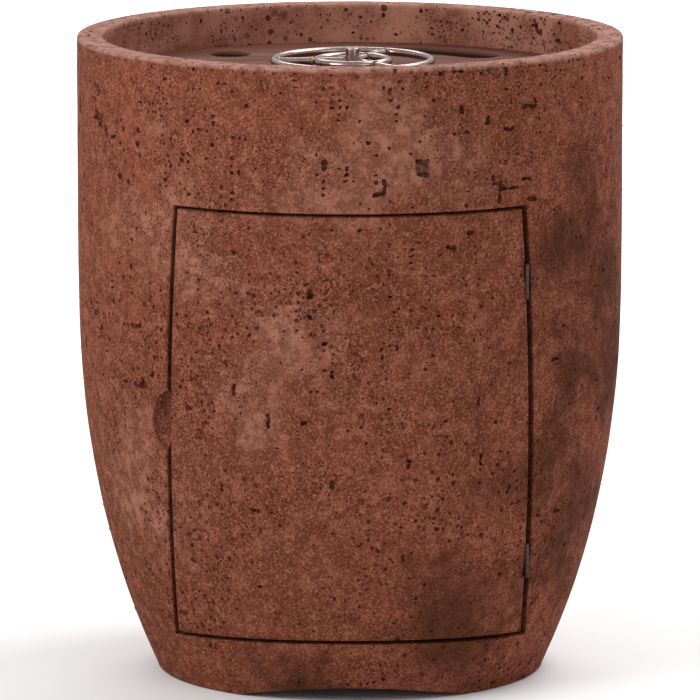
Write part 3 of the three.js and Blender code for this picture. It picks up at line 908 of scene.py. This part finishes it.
# %% Build the group of small pits
pitting, pit_in, pit_out = group(
    "small_pits", [("Place", "Vector", None), ("Scale", "Float", 150.0), ("Spread", "Float", 0.3),
                   ("Drift Scale", "Float", 12.0), ("Drift Start", "Float", 0.5)],
    [("Mask", "Float"), ("Rim", "Float")])
shake = node(pitting, "TexNoise", Scale=260, Detail=2)
link(pitting, pit_in.outputs["Place"], shake.inputs["Vector"])
shaken = node(pitting, "VectorMath", operation="MULTIPLY_ADD")
link(pitting, shake.outputs["Color"], shaken.inputs[0])
shaken.inputs[1].default_value = (0.0026, 0.0026, 0.0026)
link(pitting, pit_in.outputs["Place"], shaken.inputs[2])
cells = node(pitting, "TexVoronoi")
link(pitting, shaken.outputs["Vector"], cells.inputs["Vector"])
link(pitting, pit_in.outputs["Scale"], cells.inputs["Scale"])
drifts = node(pitting, "TexNoise", Detail=3, Roughness=0.6)
link(pitting, pit_in.outputs["Place"], drifts.inputs["Vector"])
link(pitting, pit_in.outputs["Drift Scale"], drifts.inputs["Scale"])
luck = node(pitting, "SeparateColor")
link(pitting, cells.outputs["Color"], luck.inputs["Color"])
open_up = sums(pitting, "SUBTRACT", drifts.outputs["Fac"], pit_in.outputs["Drift Start"])
open_up = sums(pitting, "ADD", open_up, sums(pitting, "MULTIPLY", luck.outputs["Red"], 0.12))
reach = sums(pitting, "MULTIPLY", ramp(pitting, open_up, 0.0, 0.25), pit_in.outputs["Spread"])
depth = sums(pitting, "SUBTRACT", reach, cells.outputs["Distance"])
strength = ramp(pitting, luck.outputs["Green"], 0.0, 1.0, 0.35, 1.0)
link(pitting, sums(pitting, "MULTIPLY", ramp(pitting, depth, 0.0, 0.07), strength), pit_out.inputs["Mask"])
link(pitting, ramp(pitting, depth, -0.08, 0.0), pit_out.inputs["Rim"])
print("built", pitting.name)

# %% [markdown]
# ## Pitted cast concrete
# Seen close, the skin has five layers: a red-brown iron pigment that took unevenly, a
# pale pinkish bloom where lime came to the surface as it cured, with painted light laid
# in the same colour on the front and left that face the key light, darker olive stains
# where water stood together with painted shade on the right side and at the foot, pits
# of several sizes whose floors are painted almost black as shade, and a paler line along
# the top of the rim that is partly rubbed wear and partly a painted highlight. Each layer
# is a mask, and the colours are laid over each other.

# %% Mix the concrete
def soft_spot(tree, place, centre, radius, ragged):
    """A patch round a point of the object, with an edge broken up by a noise mask."""
    away = node(tree, "VectorMath", operation="DISTANCE")
    link(tree, place, away.inputs[0])
    away.inputs[1].default_value = centre
    bent = sums(tree, "ADD", away.outputs["Value"], sums(tree, "MULTIPLY", ragged, radius * 0.9))
    return ramp(tree, bent, radius * 1.45, radius * 0.45)


def any_of(tree, masks):
    total = masks[0]
    for mask in masks[1:]:
        total = sums(tree, "MAXIMUM", total, mask)
    return total


def pit_layer(tree, place, **settings):
    made = node(tree, "Group", node_tree=pitting)
    for label, value in settings.items():
        made.inputs[label.replace("_", " ")].default_value = value
    link(tree, place, made.inputs["Place"])
    return made


def patches(tree, place, size=1.0):
    made = node(tree, "Group", node_tree=patchiness)
    made.inputs["Size"].default_value = size
    link(tree, place, made.inputs["Place"])
    return made.outputs


def new_material(name, metallic=0.0, roughness=0.5, slot_specular=0.5):
    material = bpy.data.materials.new(name)
    material.use_nodes = True
    tree = material.node_tree
    shader = tree.nodes["Principled BSDF"]
    shader.inputs["Metallic"].default_value = metallic
    shader.inputs["Roughness"].default_value = roughness
    shader.inputs["Specular IOR Level"].default_value = slot_specular
    place = node(tree, "TexCoord").outputs["Object"]
    return material, tree, shader, place


def raise_skin(tree, shader, height, distance, strength=1.0):
    bump = node(tree, "Bump", Distance=distance, Strength=strength)
    link(tree, height, bump.inputs["Height"])
    link(tree, bump.outputs["Normal"], shader.inputs["Normal"])


PIGMENT, PIGMENT_DARK, PIGMENT_LIGHT = (0.192, 0.053, 0.029), (0.108, 0.029, 0.015), (0.280, 0.092, 0.054)
BLOOM_AND_PAINTED_LIGHT, OLIVE_STAIN_AND_SHADE, PIT_SHADE = (0.380, 0.172, 0.118), (0.040, 0.014, 0.006), (0.014, 0.004, 0.003)
RIM_WEAR_AND_HIGHLIGHT = (0.400, 0.220, 0.180)

concrete, tree, shader, place = new_material("pitted_cast_concrete", roughness=0.85, slot_specular=0.03)
mottle = patches(tree, place)
colour = blend_colour(tree, mottle["Broad"], PIGMENT_DARK, PIGMENT)
colour = blend_colour(tree, sums(tree, "MULTIPLY", mottle["Blotches"], 0.75), colour, PIGMENT)
colour = blend_colour(tree, sums(tree, "MULTIPLY", ramp(tree, mottle["Grain"], 0.45, 1.0), 0.58), colour, PIGMENT_LIGHT)
colour = blend_colour(tree, sums(tree, "MULTIPLY", ramp(tree, mottle["Grain"], 0.52, 0.0), 0.55), colour, PIGMENT_DARK)
colour = blend_colour(tree, sums(tree, "MULTIPLY", ramp(tree, mottle["Sand"], 0.55, 1.0), 0.46), colour, BLOOM_AND_PAINTED_LIGHT)
colour = blend_colour(tree, sums(tree, "MULTIPLY", ramp(tree, mottle["Sand"], 0.46, 0.0), 0.66), colour, PIGMENT_DARK)

across = node(tree, "VectorMath", operation="MULTIPLY")
across.inputs[1].default_value = (1, 1, 0)
link(tree, place, across.inputs[0])
from_axis = node(tree, "VectorMath", operation="LENGTH")
link(tree, across.outputs["Vector"], from_axis.inputs[0])
in_bowl = ramp(tree, from_axis.outputs["Value"], RIM_RADIUS - WALL + 0.0016, RIM_RADIUS - WALL + 0.0006)
heights = node(tree, "SeparateXYZ")
link(tree, place, heights.inputs["Vector"])
in_bowl = sums(tree, "MULTIPLY", in_bowl, ramp(tree, heights.outputs["Z"], FLOOR_Z - 0.012, FLOOR_Z + 0.006))
limed = sums(tree, "MULTIPLY", in_bowl, ramp(tree, mottle["Blotches"], 0.1, 0.9, 0.2, 0.95))
colour = blend_colour(tree, limed, colour, BLOOM_AND_PAINTED_LIGHT)
# Paler rim top: partly rubbed wear, partly a painted highlight where the flat top faces the light.
rim_wear_and_highlight = ramp(tree, heights.outputs["Z"], HEIGHT - 0.005, HEIGHT - 0.001)
rim_wear_and_highlight = sums(tree, "MULTIPLY", rim_wear_and_highlight, ramp(tree, mottle["Grain"], 0.0, 0.9, 0.35, 0.85))
colour = blend_colour(tree, rim_wear_and_highlight, colour, RIM_WEAR_AND_HIGHLIGHT)

# Pale patches: lime bloom, and painted light where the spots on the front and left face the key light.
blooms_and_painted_light = any_of(tree, [soft_spot(tree, place, centre, radius, mottle["Blotches"]) for centre, radius in (
    ((0.03, -0.262, 0.545), 0.105), ((-0.17, -0.205, 0.47), 0.10), ((-0.06, -0.26, 0.37), 0.07),
    ((-0.10, -0.24, 0.31), 0.06), ((0.0, 0.24, 0.60), 0.13), ((-0.2, -0.17, 0.2), 0.09),
    ((0.24, 0.05, 0.5), 0.09), ((-0.12, 0.23, 0.42), 0.11), ((0.1, 0.2, 0.2), 0.08))])
bloom_and_light_streaks = sums(tree, "MULTIPLY", blooms_and_painted_light, ramp(tree, mottle["Grain"], 0.15, 0.95, 0.35, 1.0))
colour = blend_colour(tree, sums(tree, "MULTIPLY", bloom_and_light_streaks, 0.52), colour, BLOOM_AND_PAINTED_LIGHT)

# Dark olive patches: water stains, and painted shade where the spots on the right side and at the foot turn away from
# the key light.
stains_and_shade = any_of(tree, [soft_spot(tree, place, centre, radius, mottle["Blotches"]) for centre, radius in (
    ((0.245, -0.09, 0.33), 0.17), ((0.215, -0.12, 0.17), 0.15), ((0.10, -0.20, 0.05), 0.13),
    ((-0.04, -0.20, 0.0), 0.09), ((0.22, -0.15, 0.46), 0.08), ((0.05, 0.24, 0.2), 0.10),
    ((-0.23, 0.06, 0.12), 0.09))])
colour = blend_colour(tree, sums(tree, "MULTIPLY", stains_and_shade, 0.70), colour, OLIVE_STAIN_AND_SHADE)

tiny = pit_layer(tree, place, Scale=330.0, Spread=0.34, Drift_Scale=16.0, Drift_Start=0.42)
middle = pit_layer(tree, place, Scale=150.0, Spread=0.33, Drift_Scale=10.0, Drift_Start=0.47)
wide = pit_layer(tree, place, Scale=82.0, Spread=0.30, Drift_Scale=7.0, Drift_Start=0.51)
floors = node(tree, "Attribute", attribute_name="pit", attribute_type="GEOMETRY").outputs["Fac"]
floors = sums(tree, "MULTIPLY", floors, ramp(tree, mottle["Sand"], 0.0, 0.6, 1.0, 0.72))
pores = any_of(tree, [layer.outputs["Mask"] for layer in (tiny, middle, wide)])
lips = any_of(tree, [layer.outputs["Rim"] for layer in (middle, wide)])
colour = blend_colour(tree, sums(tree, "MULTIPLY", lips, 0.25), colour, PIGMENT_DARK)
# Painted shade: the small pores and the floors of the pressed pits are darkened almost to black, as the shade inside a
# hole.
colour = blend_colour(tree, sums(tree, "MULTIPLY", pores, 0.86), colour, PIT_SHADE)
colour = blend_colour(tree, sums(tree, "MULTIPLY", floors, 0.92), colour, PIT_SHADE)
link(tree, colour, shader.inputs["Base Color"])
link(tree, ramp(tree, mottle["Grain"], 0.0, 1.0, 0.90, 0.74), shader.inputs["Roughness"])
height = sums(tree, "SUBTRACT", sums(tree, "MULTIPLY", mottle["Sand"], 0.10), pores)
height = sums(tree, "ADD", height, sums(tree, "MULTIPLY", mottle["Grain"], 0.16))
raise_skin(tree, shader, height, 0.0012, 0.8)
print("mixed", concrete.name, "with", len(tree.nodes), "nodes")

# %% [markdown]
# ## Trowelled concrete
# The bowl floor and the cover plate are the same mix, rubbed smooth with a steel trowel.
# The pigment is dulled to a mauve by the fine cement that rises, the blotches are wide
# and soft, and the surface is a little shinier than the moulded skin.

# %% Mix the trowelled finish
MAUVE, MAUVE_DARK, MAUVE_LIGHT = (0.130, 0.046, 0.032), (0.082, 0.028, 0.019), (0.185, 0.076, 0.055)
trowelled, tree, shader, place = new_material("trowelled_concrete", roughness=0.5, slot_specular=0.06)
mottle = patches(tree, place, 1.6)
colour = blend_colour(tree, mottle["Blotches"], MAUVE_DARK, MAUVE)
colour = blend_colour(tree, sums(tree, "MULTIPLY", mottle["Broad"], 0.5), colour, MAUVE_LIGHT)
colour = blend_colour(tree, sums(tree, "MULTIPLY", mottle["Grain"], 0.3), colour, MAUVE_LIGHT)
arcs = node(tree, "TexNoise", Scale=9.0, Detail=4)
stretch = node(tree, "Mapping")
stretch.inputs["Scale"].default_value = (1, 7, 1)
link(tree, place, stretch.inputs["Vector"])
link(tree, stretch.outputs["Vector"], arcs.inputs["Vector"])
strokes = ramp(tree, arcs.outputs["Fac"], 0.4, 0.65)
colour = blend_colour(tree, sums(tree, "MULTIPLY", strokes, 0.22), colour, MAUVE_DARK)
heights = node(tree, "SeparateXYZ")
link(tree, place, heights.inputs["Vector"])
# Painted shade: every face below the trowelled top, the vent walls and the edges of the slab and plate, is darkened
# almost to black.
painted_vent_shade = ramp(tree, heights.outputs["Z"], FLOOR_Z - 0.0012, FLOOR_Z - 0.004)
colour = blend_colour(tree, sums(tree, "MULTIPLY", painted_vent_shade, 0.85), colour, PIT_SHADE)
link(tree, colour, shader.inputs["Base Color"])
link(tree, ramp(tree, strokes, 0.0, 1.0, 0.62, 0.78), shader.inputs["Roughness"])
raise_skin(tree, shader, sums(tree, "ADD", sums(tree, "MULTIPLY", strokes, 0.4), mottle["Sand"]), 0.0003, 0.5)
print("mixed", trowelled.name)

# %% [markdown]
# ## Metals and plastic
# One recipe serves all the metals: a base colour, a second colour that shows in worn or
# tinted patches, and a roughness that wanders between two values. The burner tube is
# polished and a little straw-coloured from heat, its welds are dull, the brass and zinc
# are machined, and the hinge steel is dark with worn patches.

# %% Finish the metals
def metal(name, base, worn, rough, size, share, grain=0.00008):
    material, tree, shader, place = new_material(name, metallic=1.0)
    mottle = patches(tree, place, size)
    wear = sums(tree, "MULTIPLY", ramp(tree, mottle["Grain"], 0.35, 0.95), share)
    colour = blend_colour(tree, wear, base, worn)
    link(tree, colour, shader.inputs["Base Color"])
    link(tree, ramp(tree, mottle["Blotches"], 0.0, 1.0, *rough), shader.inputs["Roughness"])
    raise_skin(tree, shader, mottle["Sand"], grain, 0.6)
    return material


polished = metal("polished_burner_tube", (0.39, 0.290, 0.270), (0.24, 0.150, 0.120), (0.14, 0.28), 3.0, 0.6, 0.00002)
weld_metal = metal("dull_weld", (0.34, 0.25, 0.20), (0.18, 0.11, 0.08), (0.34, 0.55), 8.0, 0.7, 0.0004)
finishes = {
    "stainless": polished,
    "steel": metal("dulled_steel", (0.095, 0.060, 0.050), (0.045, 0.025, 0.019), (0.42, 0.62), 4.0, 0.7),
    "brass": metal("machined_brass", (0.68, 0.48, 0.20), (0.38, 0.24, 0.10), (0.2, 0.42), 4.0, 0.5),
    "zinc": metal("zinc_plate", (0.60, 0.61, 0.62), (0.38, 0.37, 0.34), (0.3, 0.5), 5.0, 0.5),
}

# %% Finish the plastic
grained, tree, shader, place = new_material("grained_black_plastic", slot_specular=0.4)
mottle = patches(tree, place, 5.0)
link(tree, blend_colour(tree, mottle["Grain"], (0.012, 0.012, 0.012), (0.030, 0.029, 0.027)), shader.inputs["Base Color"])
link(tree, ramp(tree, mottle["Blotches"], 0.0, 1.0, 0.42, 0.6), shader.inputs["Roughness"])
raise_skin(tree, shader, mottle["Sand"], 0.0001, 0.7)
finishes |= {"black_plastic": grained, "cast_concrete": concrete, "bowl_concrete": trowelled}

# %% [markdown]
# ## Dress every piece
# A imported piece keeps its mesh and only changes its finish. The words in its name say
# which slot each one belongs to, and a piece that matches none of them is steel.

# %% Give each piece its finish
def dress(obj, material):
    if not obj.material_slots:
        obj.data.materials.append(material)
    for slot in obj.material_slots:
        slot.link = "OBJECT"
        slot.material = material


METALS = {
    "brass": ("air_mixer", "gas_orifice", "inlet_fitting", "valve_body", "valve_flare_nut", "mixer_flare_nut"),
    "zinc": ("plate_washer", "lock_nut", "control_bracket", "valve_panel_nut", "screw", "strike_plate"),
    "black_plastic": ("valve_knob",),
}


def slot_of(name):
    for slot, words in METALS.items():
        if any(word in name for word in words):
            return slot
    return "steel"


for name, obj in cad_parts.items():
    if not obj.hide_render:
        dress(obj, finishes[slot_of(name)])
for piece, (rides, replaced, slot) in STANDS_FOR.items():
    dress(piece, finishes[slot])
for weld in welds:
    dress(weld, weld_metal)
print("dressed", len(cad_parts) + len(welds), "pieces")

# %% [markdown]
# ## Floor and light
# The column stands on a plain pale floor. A very large soft light high on the left does
# most of the work, a wide weak one on the right keeps the shaded side readable, and an
# even pale sky fills in the rest.

# %% Lay the floor
nothing_selected()
bpy.ops.mesh.primitive_plane_add(size=60, location=(0, 0, 0))
floor = named("studio_floor")
floor_paint, tree, shader, place = new_material("pale_floor", roughness=0.9, slot_specular=0.1)
mottle = patches(tree, place, 0.3)
link(tree, blend_colour(tree, mottle["Broad"], (0.90, 0.90, 0.90), (0.93, 0.93, 0.93)), shader.inputs["Base Color"])
dress(floor, floor_paint)

# %% Set the lights
def soft_light(name, place, size, power, aim=(0, 0, 0.35)):
    nothing_selected()
    bpy.ops.object.light_add(type="AREA", location=place)
    light = bpy.context.object
    light.name = name
    light.data.shape, light.data.size, light.data.energy = "DISK", size, power
    light.rotation_euler = (Vector(aim) - Vector(place)).to_track_quat("-Z", "Y").to_euler()
    return light


soft_light("key_light", (-3.0, -2.2, 2.4), 2.2, 85)
soft_light("fill_light", (2.6, -3.4, 1.8), 2.4, 18)
soft_light("top_light", (1.5, 1.0, 2.9), 1.8, 48)
soft_light("backdrop_light", (0, 6.5, 4.5), 6.0, 420, (0, 7.5, 0))
world = bpy.data.worlds.new("studio_sky")
bpy.context.scene.world = world
world.use_nodes = True
world.node_tree.nodes["Background"].inputs["Color"].default_value = (1, 1, 1, 1)
world.node_tree.nodes["Background"].inputs["Strength"].default_value = 0.62
bpy.context.scene.view_settings.view_transform = "Standard"
